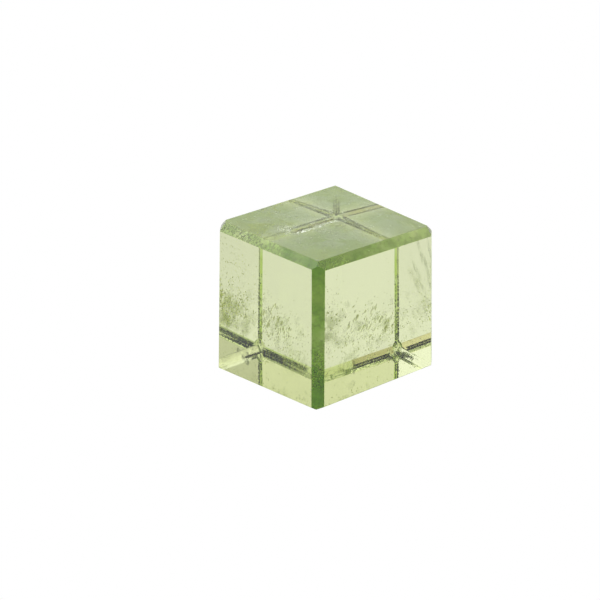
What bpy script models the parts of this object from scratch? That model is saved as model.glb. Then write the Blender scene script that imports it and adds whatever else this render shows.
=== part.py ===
"""Peridot cube: one clear olive-green stone, ground by hand to a bevelled cube.

The stone stands on its base with +Z up. The origin is the middle of its footprint on the
surface that it rests on. Lengths are in metres and angles in degrees.

It is made the way it was cut. A rough block is ground away, one flat at a time: six faces that
are a degree or two out of square, twelve edge bevels and eight small corner facets.
"""
from itertools import product
from math import radians, tan

import bmesh
import bpy
from mathutils import Vector

NAME = "peridot_cube"

# Size of the stone between its faces.
HEIGHT = 0.0100
LENGTH_X = 0.0102
LENGTH_Y = 0.01036
ROUGH_BLOCK = 0.020

# Each face: the way it points, its distance from the middle of the stone, and how far its
# normal swings sideways and upwards from square.
FACES = {
    "front_left": (Vector((0, -1, 0)), LENGTH_Y / 2, 0.0, -0.65),
    "front_right": (Vector((1, 0, 0)), LENGTH_X / 2, 1.80, -1.00),
    "back_left": (Vector((-1, 0, 0)), LENGTH_X / 2, 1.80, 1.70),
    "back_right": (Vector((0, 1, 0)), LENGTH_Y / 2, -2.35, 1.60),
    "top": (Vector((0, 0, 1)), HEIGHT / 2, 0.0, 0.0),
    "base": (Vector((0, 0, -1)), HEIGHT / 2, 0.0, 0.0),
}

# Each edge bevel: the two faces it joins, the width it takes off the second face at the two
# ends of the edge, and how many times that it takes off the first face. The second width is at
# the end further along +X, +Y or +Z. Round the base, the bevels stand steep below the back
# faces and lie flat below the front faces.
BEVELS = (
    ("front_left", "front_right", 0.00056, 0.00058, 1.0),
    ("front_left", "back_left", 0.00062, 0.00068, 1.0),
    ("front_right", "back_right", 0.00052, 0.00052, 1.0),
    ("back_left", "back_right", 0.00017, 0.00016, 1.0),
    ("top", "front_left", 0.00047, 0.00044, 1.0),
    ("top", "front_right", 0.00049, 0.00050, 1.0),
    ("top", "back_left", 0.00033, 0.00031, 1.0),
    ("top", "back_right", 0.00034, 0.00036, 1.0),
    ("base", "front_left", 0.00014, 0.00029, 1.7),
    ("base", "front_right", 0.00033, 0.00068, 2.0),
    ("base", "back_left", 0.00044, 0.00046, 0.82),
    ("base", "back_right", 0.00040, 0.00042, 0.64),
)

# How deep each corner is cut, measured along its diagonal from where its bevels would meet.
# The key is the side of the middle that the corner is on, along X, Y and Z.
CORNER_CUTS = {
    (1, -1, 1): 0.00004,
    (-1, -1, 1): 0.00022,
    (1, 1, 1): 0.00016,
    (-1, 1, 1): 0.00003,
    (1, -1, -1): 0.00003,
    (-1, -1, -1): 0.00010,
    (1, 1, -1): 0.00012,
    (-1, 1, -1): 0.00006,
}

# Finish: pale yellow-green transparent stone.
BODY_COLOUR = (0.70, 0.80, 0.44, 1.0)
POLISH_ROUGHNESS = 0.03
REFRACTIVE_INDEX = 1.69


def face_normal(name):
    """Return the unit normal of a face, with its swing from square."""
    square, _, sideways, upwards = FACES[name]
    if square.z:
        return square.copy()
    side = Vector((0, 0, 1)).cross(square)
    up = Vector((0, 0, 1))
    return (square + side * tan(radians(sideways)) + up * tan(radians(upwards))).normalized()


def meeting_point(planes):
    """Return the point that three planes share, each given as (normal, distance)."""
    (n1, d1), (n2, d2), (n3, d3) = planes
    volume = n1.dot(n2.cross(n3))
    return (n2.cross(n3) * d1 + n3.cross(n1) * d2 + n1.cross(n2) * d3) / volume


def face_plane(name):
    """Return a face as (normal, distance from the middle of the stone)."""
    return face_normal(name), FACES[name][1]


def edge_ends(first, second):
    """Return the two sharp corners at the ends of the edge between two faces."""
    others = [name for name in FACES if name not in (first, second)]
    along = FACES[first][0].cross(FACES[second][0])
    caps = [name for name in others if abs(FACES[name][0].dot(along)) > 0.5]
    ends = [meeting_point([face_plane(first), face_plane(second), face_plane(cap)]) for cap in caps]
    return sorted(ends, key=lambda point: point.x + point.y + point.z)


def bevel_plane(first, second, start_width, end_width, first_share):
    """Return a bevel as (normal, distance), from its width at each end of the edge."""
    start, end = edge_ends(first, second)
    along = (end - start).normalized()
    across = []
    for name, other in ((first, second), (second, first)):
        inward = along.cross(face_normal(name))
        if inward.dot(face_normal(other)) > 0:
            inward.negate()
        across.append(inward)
    start_points = [start + across[0] * start_width * first_share, start + across[1] * start_width]
    end_point = end + across[1] * end_width
    normal = (start_points[1] - start_points[0]).cross(end_point - start_points[0]).normalized()
    if normal.dot(start) < 0:
        normal.negate()
    return normal, normal.dot(end_point)


def corner_plane(sides, bevels):
    """Return a corner facet as (normal, distance), cut across the bevels that meet there."""
    faces = [name for name in FACES if FACES[name][0].dot(Vector(sides)) > 0.5]
    meeting = [plane for pair, plane in bevels.items() if pair[0] in faces and pair[1] in faces]
    tip = meeting_point(meeting)
    normal = sum((face_normal(name) for name in faces), Vector()).normalized()
    return normal, normal.dot(tip) - CORNER_CUTS[sides]


def grind(stone, normal, distance):
    """Grind the stone down to a plane and close the flat that this leaves."""
    everything = stone.verts[:] + stone.edges[:] + stone.faces[:]
    cut = bmesh.ops.bisect_plane(
        stone, geom=everything, dist=1e-9, plane_co=normal * distance, plane_no=normal, clear_outer=True
    )
    rim = [item for item in cut["geom_cut"] if isinstance(item, bmesh.types.BMEdge)]
    bmesh.ops.edgeloop_fill(stone, edges=rim)


def cut_stone():
    """Return the ground stone as a bmesh, standing on the origin."""
    stone = bmesh.new()
    bmesh.ops.create_cube(stone, size=ROUGH_BLOCK)
    for name in FACES:
        grind(stone, *face_plane(name))
    bevels = {(first, second): bevel_plane(first, second, *cut) for first, second, *cut in BEVELS}
    for plane in bevels.values():
        grind(stone, *plane)
    for sides in product((-1, 1), repeat=3):
        grind(stone, *corner_plane(sides, bevels))
    bmesh.ops.recalc_face_normals(stone, faces=stone.faces[:])
    lows = [min(vert.co[axis] for vert in stone.verts) for axis in range(3)]
    highs = [max(vert.co[axis] for vert in stone.verts) for axis in range(3)]
    foot = Vector(((lows[0] + highs[0]) / 2, (lows[1] + highs[1]) / 2, lows[2]))
    bmesh.ops.translate(stone, vec=-foot, verts=stone.verts[:])
    return stone


def clear_stone_material():
    """Return the stone's transparent green material."""
    material = bpy.data.materials.new("clear_peridot")
    material.use_nodes = True
    shader = material.node_tree.nodes["Principled BSDF"]
    shader.inputs["Base Color"].default_value = BODY_COLOUR
    shader.inputs["Roughness"].default_value = POLISH_ROUGHNESS
    shader.inputs["Metallic"].default_value = 0.0
    shader.inputs["IOR"].default_value = REFRACTIVE_INDEX
    shader.inputs["Transmission Weight"].default_value = 1.0
    return material


def main():
    """Clear the scene and build the stone in its own collection."""
    for item in list(bpy.context.scene.objects):
        bpy.data.objects.remove(item, do_unlink=True)
    collection = bpy.data.collections.new("peridot")
    bpy.context.scene.collection.children.link(collection)

    mesh = bpy.data.meshes.new(NAME)
    stone = cut_stone()
    stone.to_mesh(mesh)
    stone.free()
    mesh.materials.append(clear_stone_material())
    collection.objects.link(bpy.data.objects.new(NAME, mesh))


main()
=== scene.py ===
"""Looks of the peridot cube: a clear olive-green stone, ground and polished by hand.

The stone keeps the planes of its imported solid. This script wears and chips its edges, frosts
the ground bevels, and seals in it what grew there: dust, needles, veils, cracks and grains.
Lengths are in metres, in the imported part's frame: +Z up, origin in the middle of the footprint.
"""
from __future__ import annotations

import logging
import math
import random
from dataclasses import astuple, dataclass, field, fields
from enum import Enum
from typing import Any, Iterable, Self

import bmesh
import bpy
from mathutils import Matrix, Vector, noise

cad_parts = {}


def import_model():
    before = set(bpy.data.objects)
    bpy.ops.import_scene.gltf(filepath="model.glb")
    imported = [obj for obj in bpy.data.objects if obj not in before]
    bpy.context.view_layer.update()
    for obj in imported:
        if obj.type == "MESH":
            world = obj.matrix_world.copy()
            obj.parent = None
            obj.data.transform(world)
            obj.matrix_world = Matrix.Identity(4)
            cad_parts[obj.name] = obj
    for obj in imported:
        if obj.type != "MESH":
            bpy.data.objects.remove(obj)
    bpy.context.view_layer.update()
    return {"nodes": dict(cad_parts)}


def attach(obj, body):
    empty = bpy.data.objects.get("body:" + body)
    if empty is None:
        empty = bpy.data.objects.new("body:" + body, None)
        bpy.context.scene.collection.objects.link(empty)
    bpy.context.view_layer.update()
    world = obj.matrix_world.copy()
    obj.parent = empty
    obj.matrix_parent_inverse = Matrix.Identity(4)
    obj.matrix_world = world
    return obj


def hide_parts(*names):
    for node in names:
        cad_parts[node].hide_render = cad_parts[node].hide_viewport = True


LOG = logging.getLogger("peridot_cube")
NODE = "peridot_cube"
BODY = "root"
MM = 0.001
LIGHT_BOUNCES = 64
UP = Vector((0.0, 0.0, 1.0))

# How nearly a face points the way of a side or a bevel that it belongs to, as a cosine.
POLISHED_MATCH = 0.998
BEVEL_MATCH = 0.92
# How nearly a face still lies in its own flat, once the stone is chipped.
SAME_WAY = 0.99999
SAME_PLANE = 0.0005 * MM
# The share of a distance that is asked for, so that rounding doesn't fail it.
NEARLY = 0.99
# How fine the lumps of a grain are, and how fast they change from place to place.
GRAIN_FINENESS = 1.5
GRAIN_DRIFT = 7.0

Triple = tuple[float, float, float]
Colour = Triple
WHITE: Colour = (1.0, 1.0, 1.0)


class NodeBench:
    """Adds nodes to one tree and joins them."""

    MIX_FIRST_COLOUR = 6
    MIX_SECOND_COLOUR = 7
    MIX_RESULT_COLOUR = 2

    def __init__(self, tree: bpy.types.NodeTree) -> None:
        """Start work on a node tree."""
        self.tree = tree

    def add(self, kind: str, **settings: Any) -> bpy.types.Node:
        """Add a node.

        Args:
            kind: The node's type, without the leading ShaderNode.
            settings: Properties to set on the node.

        Returns:
            The new node.
        """
        node = self.tree.nodes.new("ShaderNode" + kind)
        for name, value in settings.items():
            setattr(node, name, value)
        return node

    def feed(self, socket: bpy.types.NodeSocket, value: Any) -> None:
        """Put a number, a colour or another node's output into a socket.

        Args:
            socket: The input that takes it.
            value: An output socket, a number or a colour of three or four numbers.
        """
        if isinstance(value, bpy.types.NodeSocket):
            self.tree.links.new(value, socket)
        elif isinstance(value, tuple) and socket.type == "RGBA":
            socket.default_value = (*value[:3], 1.0)
        else:
            socket.default_value = value

    def math(self, operation: str, first: Any, second: Any = 0.0) -> bpy.types.NodeSocket:
        """Combine two numbers.

        Args:
            operation: The Math node's operation.
            first: The first number or output.
            second: The second number or output.

        Returns:
            The result's output socket.
        """
        node = self.add("Math", operation=operation)
        self.feed(node.inputs[0], first)
        self.feed(node.inputs[1], second)
        return node.outputs[0]

    def span(
        self, value: Any, start: float, end: float, low: Any = 0.0, high: Any = 1.0
    ) -> bpy.types.NodeSocket:
        """Ease a value from one range to another.

        Args:
            value: The number or output to read.
            start: Where the result leaves low.
            end: Where the result reaches high.
            low: The result at start.
            high: The result at end.

        Returns:
            The result's output socket.
        """
        node = self.add("MapRange", interpolation_type="SMOOTHSTEP")
        for socket, number in zip(node.inputs, (value, start, end, low, high)):
            self.feed(socket, number)
        return node.outputs[0]

    def blend(self, factor: Any, first: Any, second: Any) -> bpy.types.NodeSocket:
        """Mix two colours.

        Args:
            factor: How much of the second colour, from 0 to 1.
            first: The colour or output at 0.
            second: The colour or output at 1.

        Returns:
            The mixed colour's output socket.
        """
        node = self.add("Mix", data_type="RGBA")
        self.feed(node.inputs["Factor"], factor)
        self.feed(node.inputs[self.MIX_FIRST_COLOUR], first)
        self.feed(node.inputs[self.MIX_SECOND_COLOUR], second)
        return node.outputs[self.MIX_RESULT_COLOUR]

    def lean(self, way: Any, slope: Vector, middle: float) -> bpy.types.NodeSocket:
        """Make a number that grows along a direction.

        Args:
            way: The vector output to read.
            slope: The direction of growth, as long as the growth over one unit.
            middle: The result at right angles to the slope.

        Returns:
            The result's output socket.
        """
        node = self.add("VectorMath", operation="DOT_PRODUCT")
        self.feed(node.inputs[0], way)
        node.inputs[1].default_value = slope
        return self.math("ADD", node.outputs["Value"], middle)

    def grey(self, value: Any) -> bpy.types.NodeSocket:
        """Make a grey from a number.

        Args:
            value: The number or output.

        Returns:
            The grey's output socket.
        """
        node = self.add("CombineColor")
        for socket in node.inputs:
            self.feed(socket, value)
        return node.outputs[0]

    def place(self) -> bpy.types.NodeSocket:
        """Return the place on the stone, in metres."""
        return self.add("TexCoord").outputs["Object"]

    def mark(self, name: str) -> bpy.types.NodeSocket:
        """Return the value of one of the mesh's own attributes."""
        return self.add("Attribute", attribute_name=name).outputs["Fac"]


def start_material(name: str) -> tuple[bpy.types.Material, NodeBench, bpy.types.Node]:
    """Start a material.

    Args:
        name: The name of the material.

    Returns:
        The material, a bench on its nodes, and its Principled BSDF.
    """
    material = bpy.data.materials.new(name)
    material.use_nodes = True
    return material, NodeBench(material.node_tree), material.node_tree.nodes["Principled BSDF"]


class PatternGroup:
    """A node group of one pattern that several finishes share."""

    name = "pattern"
    scale = 1.0
    detail = 2.0
    start = 0.4
    end = 0.6

    @classmethod
    def tree(cls) -> bpy.types.NodeTree:
        """Return the group's node tree, made on first use.

        Returns:
            The tree, with the inputs Place, Scale, Start and End and the output Mask.
        """
        found = bpy.data.node_groups.get(cls.name)
        if found:
            return found
        tree = bpy.data.node_groups.new(cls.name, "ShaderNodeTree")
        tree.interface.new_socket(name="Place", in_out="INPUT", socket_type="NodeSocketVector")
        for label, value in (("Scale", cls.scale), ("Start", cls.start), ("End", cls.end)):
            socket = tree.interface.new_socket(
                name=label, in_out="INPUT", socket_type="NodeSocketFloat"
            )
            socket.default_value = value
        tree.interface.new_socket(name="Mask", in_out="OUTPUT", socket_type="NodeSocketFloat")
        bench = NodeBench(tree)
        source = tree.nodes.new("NodeGroupInput").outputs
        result = tree.nodes.new("NodeGroupOutput").inputs["Mask"]
        raw = cls.pattern(bench, source["Place"], source["Scale"])
        bench.feed(result, bench.span(raw, source["Start"], source["End"], 0.0, 1.0))
        return tree

    @classmethod
    def pattern(cls, bench: NodeBench, place: Any, scale: Any) -> bpy.types.NodeSocket:
        """Draw the raw pattern.

        Args:
            bench: The group's own bench.
            place: The place on the piece.
            scale: How many features there are to a metre.

        Returns:
            The output that holds the pattern, before its contrast is set.
        """
        node = bench.add("TexNoise")
        bench.feed(node.inputs["Vector"], place)
        bench.feed(node.inputs["Scale"], scale)
        node.inputs["Detail"].default_value = cls.detail
        return node.outputs["Fac"]

    @classmethod
    def mask(
        cls, bench: NodeBench, place: Any, scale: float, start: float, end: float
    ) -> bpy.types.NodeSocket:
        """Use the pattern in a material.

        Args:
            bench: The material's bench.
            place: The place on the piece.
            scale: How many features there are to a metre.
            start: The raw value where the mask leaves 0.
            end: The raw value where the mask reaches 1.

        Returns:
            The mask's output socket, from 0 to 1.
        """
        node = bench.add("Group", node_tree=cls.tree())
        for label, value in (("Place", place), ("Scale", scale), ("Start", start), ("End", end)):
            bench.feed(node.inputs[label], value)
        return node.outputs["Mask"]


class Mottle(PatternGroup):
    """Soft uneven patches, as in a haze or a stain."""

    name = "mottle"
    detail = 3.0


class Grit(PatternGroup):
    """The fine pits that a coarse wheel leaves, as small cells."""

    name = "grit"

    @classmethod
    def pattern(cls, bench: NodeBench, place: Any, scale: Any) -> bpy.types.NodeSocket:
        """Draw small uneven cells.

        Args:
            bench: The group's own bench.
            place: The place on the piece.
            scale: How many pits there are to a metre.

        Returns:
            The output that holds the distance to the middle of the nearest pit.
        """
        node = bench.add("TexVoronoi", feature="SMOOTH_F1")
        bench.feed(node.inputs["Vector"], place)
        bench.feed(node.inputs["Scale"], scale)
        return node.outputs["Distance"]


@dataclass(frozen=True)
class PeridotFinish:
    """Clear green stone: polished faces, finely ground bevels and fresh chips."""

    name: str = "clear_peridot"
    refractive_index: float = 1.69
    body_colour: Colour = (0.72, 0.782, 0.362)
    body_density: float = 100.0
    polish_roughness: float = 0.008
    frost_roughness: float = 0.60
    pale_ground: Colour = (0.90, 0.98, 0.54)
    # The deep green is partly painted shade, for light dimmed on long paths through the stone.
    deep_ground: Colour = (0.30, 0.52, 0.03)
    # A brown tint on part of the left rear base bevel, which darkens the view through it.
    brown_tint: Colour = (0.50, 0.42, 0.18)
    brown_tint_start: float = 0.1
    brown_tint_end: float = 0.3
    grit_per_metre: float = 12000.0
    grit_range: tuple[float, float] = (0.10, 0.80)
    grit_depth: float = 0.010 * MM
    patch_per_metre: float = 900.0
    patch_range: tuple[float, float] = (0.35, 0.65)
    patch_stain: float = 0.18
    patch_roughness: tuple[float, float] = (0.7, 1.3)

    def material(self) -> bpy.types.Material:
        """Return the stone's one material.

        Returns:
            A transmissive material whose ground parts are marked on the mesh.
        """
        material, bench, shader = start_material(self.name)
        shader.inputs["Metallic"].default_value = 0.0
        shader.inputs["IOR"].default_value = self.refractive_index
        shader.inputs["Transmission Weight"].default_value = 1.0

        place = bench.place()
        grit = Grit.mask(bench, place, self.grit_per_metre, *self.grit_range)
        patches = Mottle.mask(bench, place, self.patch_per_metre, *self.patch_range)
        self.dress_colour(bench, shader, patches)
        self.dress_roughness(bench, shader, grit, patches)
        self.dress_relief(bench, shader, grit)

        body = bench.add("VolumeAbsorption")
        body.inputs["Color"].default_value = (*self.body_colour, 1.0)
        body.inputs["Density"].default_value = self.body_density
        bench.feed(material.node_tree.nodes["Material Output"].inputs["Volume"], body.outputs[0])
        return material

    def dress_colour(self, bench: NodeBench, shader: bpy.types.Node, patches: Any) -> None:
        """Tint the ground bevels green, deeper where the mesh says so, partly their own tint and partly
        painted shade for light dimmed on long paths through the stone, and tint them brown where the
        mesh says so.

        Args:
            bench: The material's bench.
            shader: The Principled BSDF.
            patches: The mask of soft patches.
        """
        uneven = bench.span(patches, 0.0, 1.0, -self.patch_stain, self.patch_stain)
        # Green tint of the ground bevels: partly their own, partly painted shade.
        amount = bench.math("ADD", bench.mark("tint_and_shade"), uneven)
        amount.node.use_clamp = True
        tint_and_shade = bench.blend(amount, self.pale_ground, self.deep_ground)
        brown_share = bench.span(bench.mark("brown_tint"), self.brown_tint_start, self.brown_tint_end)
        tinted = bench.blend(brown_share, tint_and_shade, self.brown_tint)
        bench.feed(shader.inputs["Base Color"], bench.blend(bench.mark("ground"), WHITE, tinted))

    def dress_roughness(
        self, bench: NodeBench, shader: bpy.types.Node, grit: Any, patches: Any
    ) -> None:
        """Frost the ground bevels unevenly and keep the faces clear.

        Args:
            bench: The material's bench.
            shader: The Principled BSDF.
            grit: The mask of fine pits.
            patches: The mask of soft patches.
        """
        frost = bench.math("MULTIPLY", bench.mark("frost"), self.frost_roughness)
        uneven = bench.span(bench.math("ADD", grit, patches), 0.0, 2.0, *self.patch_roughness)
        rough = bench.math("ADD", bench.math("MULTIPLY", frost, uneven), self.polish_roughness)
        bench.feed(shader.inputs["Roughness"], rough)

    def dress_relief(self, bench: NodeBench, shader: bpy.types.Node, grit: Any) -> None:
        """Pit the ground bevels.

        Args:
            bench: The material's bench.
            shader: The Principled BSDF.
            grit: The mask of fine pits.
        """
        bump = bench.add("Bump")
        bump.inputs["Strength"].default_value = 1.0
        bump.inputs["Distance"].default_value = self.grit_depth
        bench.feed(bump.inputs["Height"], bench.math("MULTIPLY", bench.mark("pits"), grit))
        bench.feed(shader.inputs["Normal"], bump.outputs[0])


class Side(Enum):
    """The six polished faces, each with the way it points."""

    FRONT_LEFT = (0, -1, 0)
    FRONT_RIGHT = (1, 0, 0)
    BACK_LEFT = (-1, 0, 0)
    BACK_RIGHT = (0, 1, 0)
    TOP = (0, 0, 1)
    BASE = (0, 0, -1)


class Bevel(Enum):
    """The twelve ground bevels, each with the two sides that it lies between."""

    NEAR = (Side.FRONT_LEFT, Side.FRONT_RIGHT)
    LEFT = (Side.FRONT_LEFT, Side.BACK_LEFT)
    RIGHT = (Side.FRONT_RIGHT, Side.BACK_RIGHT)
    REAR = (Side.BACK_LEFT, Side.BACK_RIGHT)
    TOP_FRONT_LEFT = (Side.TOP, Side.FRONT_LEFT)
    TOP_FRONT_RIGHT = (Side.TOP, Side.FRONT_RIGHT)
    TOP_BACK_LEFT = (Side.TOP, Side.BACK_LEFT)
    TOP_BACK_RIGHT = (Side.TOP, Side.BACK_RIGHT)
    BASE_FRONT_LEFT = (Side.BASE, Side.FRONT_LEFT)
    BASE_FRONT_RIGHT = (Side.BASE, Side.FRONT_RIGHT)
    BASE_BACK_LEFT = (Side.BASE, Side.BACK_LEFT)
    BASE_BACK_RIGHT = (Side.BASE, Side.BACK_RIGHT)

    def direction(self) -> Vector:
        """Return the way the bevel points."""
        return (Vector(self.value[0].value) + Vector(self.value[1].value)).normalized()

    def axis(self) -> int:
        """Return the axis that the bevel runs along."""
        return next(axis for axis in range(3) if not any(side.value[axis] for side in self.value))


class Blended:
    """A set of values that can be mixed with another set of its kind."""

    def towards(self, other: Self, share: float) -> Self:
        """Mix with another set.

        Args:
            other: The set at a share of 1.
            share: How much of the other, from 0 to 1.

        Returns:
            The mixed set.
        """
        pairs = zip(astuple(self), astuple(other))
        return type(self)(*(mine + (theirs - mine) * share for mine, theirs in pairs))


@dataclass(frozen=True)
class Wear(Blended):
    """How a stretch of ground surface was left, each value from 0 to 1. Its green tint is partly painted
    shade.
    """

    tint_and_shade: float
    frost: float
    pits: float
    brown_tint: float = 0.0


@dataclass(frozen=True)
class Grinding:
    """How one bevel was ground: its wear at the start, and past a change if there is one.

    The start is the end of the bevel towards -X, -Y or -Z.
    """

    bevel: Bevel
    start: Wear
    end: Wear | None = None
    change: float = 0.5
    change_width: float = 0.1

    def wear_at(self, along: float) -> Wear:
        """Work out the wear at one place along the bevel.

        Args:
            along: The share of the bevel's length, from 0 to 1.

        Returns:
            The wear there.
        """
        if self.end is None:
            return self.start
        share = (along - self.change) / self.change_width + 0.5
        return self.start.towards(self.end, min(1.0, max(0.0, share)))


# The first value of each wear is the green tint, deepest on the near and rear upright bevels: partly the
# bevels' own tint and partly painted shade for light dimmed on long paths through the stone.
GRINDINGS = (
    Grinding(Bevel.NEAR, Wear(1.0, 0.15, 0.15), Wear(0.65, 0.15, 0.1), 0.3, 0.3),
    Grinding(Bevel.TOP_FRONT_LEFT, Wear(0.3, 0.35, 0.3), Wear(0.7, 0.30, 0.2), 0.55, 0.2),
    Grinding(Bevel.TOP_FRONT_RIGHT, Wear(0.6, 0.30, 0.2), Wear(0.25, 0.30, 0.3), 0.5, 0.4),
    Grinding(Bevel.LEFT, Wear(0.4, 0.4, 0.3)),
    Grinding(Bevel.RIGHT, Wear(0.4, 0.4, 0.3)),
    Grinding(Bevel.REAR, Wear(1.0, 0.2, 0.4)),
    Grinding(Bevel.TOP_BACK_LEFT, Wear(0.4, 0.4, 0.3)),
    Grinding(Bevel.TOP_BACK_RIGHT, Wear(0.4, 0.4, 0.3)),
    Grinding(Bevel.BASE_FRONT_LEFT, Wear(0.3, 0.15, 0.05)),
    Grinding(Bevel.BASE_FRONT_RIGHT, Wear(0.3, 0.15, 0.05)),
    Grinding(Bevel.BASE_BACK_LEFT, Wear(0.2, 0.1, 0.1), Wear(0.3, 0.12, 0.3, 0.45), 0.64, 0.02),
    Grinding(Bevel.BASE_BACK_RIGHT, Wear(0.5, 0.1, 0.3), Wear(0.4, 0.1, 0.2), 0.42, 0.08),
)
FRESH_CHIP = Wear(0.1, 0.25, 0.3)


@dataclass(frozen=True)
class Flat:
    """One flat of the stone before it is chipped, with its grinding if it isn't polished."""

    normal: Vector
    distance: float
    grinding: Grinding | None

    def holds(self, face: bmesh.types.BMFace) -> bool:
        """Tell whether a face still lies in this flat."""
        same_way = self.normal.dot(face.normal) > SAME_WAY
        return same_way and abs(self.normal.dot(face.verts[0].co) - self.distance) < SAME_PLANE


@dataclass(frozen=True)
class Arris:
    """The sharp line between a bevel and a polished face: its ends and the way it points."""

    start: Vector
    end: Vector
    outward: Vector


@dataclass(frozen=True)
class Lumps:
    """How uneven a small round shape is: by how much, how finely, and how it varies by place."""

    amount: float
    fineness: float
    drift: float = 0.0

    def shape(self, verts: list[bmesh.types.BMVert], size: float, place: Vector) -> None:
        """Make a round shape uneven, while it still lies at the origin.

        Args:
            verts: The shape's vertices.
            size: The radius that the lumps go by.
            place: Where the shape is going to lie.
        """
        for vert in verts:
            raised = noise.noise(vert.co / size * self.fineness + place / MM * self.drift)
            vert.co *= 1.0 + self.amount * raised


@dataclass(frozen=True)
class Chipping:
    """Small bites out of the arris on one side of a bevel.

    The sizes are in millimetres, and the start and the end are shares of the bevel's length.
    """

    bevel: Bevel
    side: Side
    count: int
    smallest: float
    largest: float
    start: float = 0.0
    end: float = 1.0


CHIPPINGS = (
    Chipping(Bevel.TOP_FRONT_LEFT, Side.TOP, 26, 0.04, 0.10, 0.02, 0.58),
    Chipping(Bevel.TOP_FRONT_LEFT, Side.FRONT_LEFT, 12, 0.03, 0.06, 0.0, 0.6),
    Chipping(Bevel.TOP_FRONT_LEFT, Side.TOP, 3, 0.03, 0.05, 0.5, 1.0),
    Chipping(Bevel.TOP_FRONT_RIGHT, Side.TOP, 4, 0.02, 0.05),
    Chipping(Bevel.TOP_FRONT_RIGHT, Side.FRONT_RIGHT, 3, 0.02, 0.04),
    Chipping(Bevel.NEAR, Side.FRONT_LEFT, 4, 0.02, 0.05),
    Chipping(Bevel.NEAR, Side.FRONT_RIGHT, 4, 0.02, 0.05),
    Chipping(Bevel.NEAR, Side.FRONT_LEFT, 6, 0.03, 0.06, 0.20, 0.38),
    Chipping(Bevel.NEAR, Side.FRONT_RIGHT, 6, 0.03, 0.06, 0.20, 0.38),
    Chipping(Bevel.TOP_BACK_LEFT, Side.TOP, 5, 0.03, 0.07),
    Chipping(Bevel.TOP_BACK_RIGHT, Side.TOP, 5, 0.03, 0.07),
    Chipping(Bevel.TOP_BACK_LEFT, Side.BACK_LEFT, 4, 0.03, 0.07),
    Chipping(Bevel.TOP_BACK_RIGHT, Side.BACK_RIGHT, 4, 0.03, 0.07),
    Chipping(Bevel.LEFT, Side.FRONT_LEFT, 5, 0.03, 0.07),
    Chipping(Bevel.RIGHT, Side.FRONT_RIGHT, 4, 0.03, 0.06),
    Chipping(Bevel.REAR, Side.BACK_LEFT, 12, 0.03, 0.08, 0.0, 0.6),
    Chipping(Bevel.REAR, Side.BACK_RIGHT, 5, 0.03, 0.07),
    Chipping(Bevel.BASE_BACK_LEFT, Side.BASE, 8, 0.05, 0.14, 0.45, 1.0),
    Chipping(Bevel.BASE_BACK_LEFT, Side.BACK_LEFT, 6, 0.04, 0.10),
    Chipping(Bevel.BASE_BACK_RIGHT, Side.BASE, 12, 0.05, 0.12),
    Chipping(Bevel.BASE_BACK_RIGHT, Side.BACK_RIGHT, 8, 0.04, 0.09),
    Chipping(Bevel.BASE_FRONT_LEFT, Side.FRONT_LEFT, 7, 0.03, 0.07),
    Chipping(Bevel.BASE_FRONT_RIGHT, Side.FRONT_RIGHT, 6, 0.03, 0.06),
)


@dataclass(frozen=True)
class CornerBite:
    """A shell-shaped bite out of one corner. The radius and the depth are in millimetres."""

    way: Triple
    radius: float
    depth: float
    squash: float = 0.7


CORNER_BITES = (
    CornerBite((-0.8, 1.0, -0.7), 0.80, 0.24, 0.6),
    CornerBite((-1.0, -1.0, -1.0), 0.60, 0.16),
)


@dataclass(frozen=True)
class GougeRow:
    """Small pits and scratches along a line on the top face. All sizes are in millimetres."""

    start: tuple[float, float]
    end: tuple[float, float]
    wander: float
    count: int
    length: tuple[float, float]
    width: tuple[float, float]
    crumbs: int = 3
    turn_spread: float = 0.5


@dataclass(frozen=True)
class Gouge:
    """One pit in the top face, in metres, and how many crumbs are left in it."""

    middle: Vector
    turn: float
    length: float
    width: float
    crumbs: int


GOUGE_ROWS = (
    GougeRow((0.32, -2.7), (0.11, 0.65), 0.15, 46, (0.08, 0.22), (0.040, 0.075), 4),
    GougeRow((-0.18, -2.4), (-0.03, -1.2), 0.03, 7, (0.14, 0.26), (0.030, 0.045), 0, 0.15),
    GougeRow((-0.27, -0.4), (-0.17, 0.6), 0.03, 6, (0.12, 0.24), (0.025, 0.040), 0, 0.15),
    GougeRow((-0.87, -3.1), (-0.62, -2.2), 0.32, 40, (0.04, 0.12), (0.030, 0.060), 3, 1.5),
    GougeRow((-0.10, -3.4), (0.30, -2.8), 0.12, 8, (0.05, 0.14), (0.030, 0.050), 3, 0.5),
    GougeRow((0.60, -1.8), (0.85, -0.9), 0.14, 10, (0.04, 0.10), (0.030, 0.050), 3, 1.0),
    GougeRow((-1.55, 0.9), (-1.20, 1.5), 0.16, 8, (0.06, 0.14), (0.025, 0.045), 3, 0.8),
    GougeRow((-0.50, -1.2), (-0.35, -0.6), 0.06, 4, (0.12, 0.22), (0.018, 0.028), 3, 0.2),
    GougeRow((-0.40, 0.0), (-0.25, 0.6), 0.06, 4, (0.12, 0.22), (0.018, 0.028), 3, 0.2),
    GougeRow((3.1, -2.8), (3.5, -2.3), 0.08, 3, (0.20, 0.34), (0.016, 0.024), 3, 0.3),
    GougeRow((3.8, -3.9), (4.2, -3.4), 0.08, 3, (0.20, 0.34), (0.016, 0.024), 3, 0.3),
    GougeRow((-4.0, -3.6), (3.8, 3.8), 2.40, 46, (0.020, 0.055), (0.018, 0.034), 1, 3.0),
    GougeRow((-4.4, -4.5), (0.0, -4.5), 0.20, 14, (0.03, 0.08), (0.020, 0.045), 2, 1.0),
)


def extent(verts: Iterable[bmesh.types.BMVert], axis: int) -> tuple[float, float]:
    """Return the lowest and the highest coordinate of some vertices along an axis."""
    places = [vert.co[axis] for vert in verts]
    return min(places), max(places)


def once_each(items: Iterable[Any]) -> list[Any]:
    """List each item once, in the order given, which a set would not keep."""
    return list(dict.fromkeys(items))


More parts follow.
